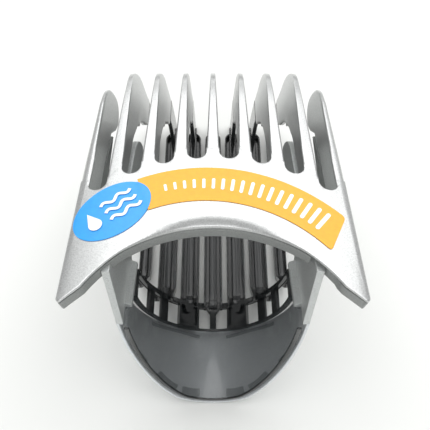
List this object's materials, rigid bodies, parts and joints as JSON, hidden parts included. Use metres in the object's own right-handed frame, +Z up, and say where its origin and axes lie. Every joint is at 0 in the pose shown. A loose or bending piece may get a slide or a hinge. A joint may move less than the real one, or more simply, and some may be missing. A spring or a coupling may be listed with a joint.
{
  "type": "hair clipper length comb",
  "caption": "Push-on length comb for a hair clipper: crowned silver face with hooked teeth, side walls with guide rails, and a smoke-clear scoop and ribs.",
  "frame": {"origin": "middle of the comb's box in plan, on the surface that the middle ribs rest on", "axes": "+Z up from that surface, +Y towards the tips of the teeth, +X to the right, seen from the end that the clipper enters"},
  "size_m": [0.0504, 0.086, 0.053],
  "materials": {
    "face_silver": "silver metallic paint, satin, fine flake",
    "frame_silver": "silver metallic moulded plastic, satin",
    "smoke_clear": "smoke-tinted clear plastic, glossy",
    "orange_film": "printed film sticker, semi-gloss",
    "blue_film": "printed film sticker, semi-gloss",
    "bond_grey": "grey bond film seen through the smoke liner"
  },
  "bodies": {
    "root": {"face_comb": "face_silver", "side_frame": "frame_silver", "rib_liner": "smoke_clear", "length_label": "orange_film", "wash_label": "blue_film", "rim_pad_outer_left": "bond_grey", "rim_pad_outer_right": "bond_grey", "rim_pad_inner_left": "bond_grey", "rim_pad_inner_right": "bond_grey", "far_strip_left": "bond_grey", "far_strip_right": "bond_grey", "side_strip_left": "bond_grey", "side_strip_right": "bond_grey"}
  },
  "joints": []
}
